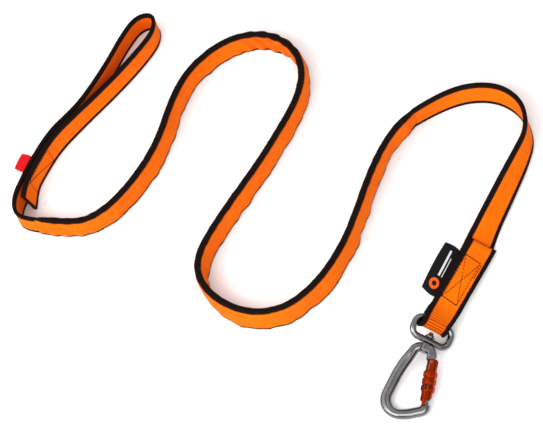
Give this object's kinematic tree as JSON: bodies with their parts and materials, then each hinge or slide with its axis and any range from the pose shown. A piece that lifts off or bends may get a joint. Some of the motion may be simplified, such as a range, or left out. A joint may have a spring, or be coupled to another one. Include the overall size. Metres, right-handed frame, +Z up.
{
  "type": "dog leash",
  "caption": "Bungee dog leash of orange webbing with black edges, sewn loop handle, elastic tube section and a swivel carabiner with an auto-locking gate sleeve.",
  "frame": {"origin": "on the surface that the leash lies on, under the middle of the metal hardware (swivel eye and carabiner)", "axes": "+Z up, +Y along the swivel stem from the carabiner towards the webbing, +X towards the gate side of the carabiner"},
  "size_m": [0.3881, 0.2794, 0.0281],
  "materials": {
    "orange_webbing": "woven",
    "orange_tube": "woven tube",
    "elastic": "braided",
    "dark_thread": "thread",
    "black_label": "woven satin",
    "red_tag": "woven",
    "polished_steel": "polished",
    "polished_aluminium": "tumbled and polished",
    "dark_aluminium": "satin",
    "orange_anodised": "anodised",
    "black_plastic": "moulded",
    "spring_steel": "drawn wire"
  },
  "bodies": {
    "leash": {"front_webbing": "orange_webbing", "bungee_cover": "orange_tube", "bungee_core": "elastic", "handle_webbing": "orange_webbing", "box_stitch_front": "dark_thread", "box_stitch_handle": "dark_thread", "bar_tack_front": "dark_thread", "bar_tack_handle": "dark_thread", "side_label": "black_label", "handle_tag": "red_tag"},
    "eye": {"swivel_eye": "polished_steel"},
    "carabiner": {"carabiner_frame": "polished_aluminium", "swivel_pin": "polished_steel", "swivel_nut": "polished_steel", "swivel_washer": "polished_steel", "gate_hinge_pin": "polished_steel"},
    "gate": {"gate_core": "dark_aluminium", "gate_barrel": "orange_anodised", "gate_spring": "spring_steel", "sleeve_spring": "spring_steel", "guide_pin": "polished_steel"},
    "plunger": {"gate_plunger": "polished_steel"},
    "slider": {"guide_ring": "black_plastic"},
    "sleeve": {"locking_sleeve": "orange_anodised", "grip_collar": "orange_anodised"}
  },
  "joints": [
    {"name": "eye_swing", "type": "hinge", "parent": "leash", "child": "eye", "pos_m": [-0.00105, 0.0373, 0.01394], "axis": [0.788, 0.0793, -0.6105], "range_deg": [-60, 60]},
    {"name": "swivel", "type": "hinge", "parent": "eye", "child": "carabiner", "pos_m": [-0.00105, 0.02758, 0.01268], "axis": [0, 0.9917, 0.1288], "continuous": true},
    {"name": "gate_open", "type": "hinge", "parent": "carabiner", "child": "gate", "pos_m": [0.00865, 0.00715, 0.01003], "axis": [0, 0.1288, -0.9917], "range_deg": [0, 26], "stiffness_Nm_per_rad": 0.03, "springref_deg": -28.65},
    {"name": "plunger_slide", "type": "slide", "parent": "gate", "child": "plunger", "axis": [0.2011, -0.9714, -0.1262], "range_m": [0, 0.0006], "deforming": ["gate_spring"]},
    {"name": "sleeve_lift", "type": "slide", "parent": "gate", "child": "slider", "axis": [-0.2011, 0.9714, 0.1262], "range_m": [0, 0.0035], "stiffness_N_per_m": 250, "springref_m": -0.004, "deforming": ["sleeve_spring"]},
    {"name": "sleeve_twist", "type": "hinge", "parent": "slider", "child": "sleeve", "pos_m": [0.00865, 0.00715, 0.01003], "axis": [0.2011, -0.9714, -0.1262], "range_deg": [0, 65], "stiffness_Nm_per_rad": 0.01, "springref_deg": -28.65}
  ],
  "couplings": [
    {"joint": "plunger_slide", "follows": "gate_open", "m_per_rad": 0.0013222}
  ]
}
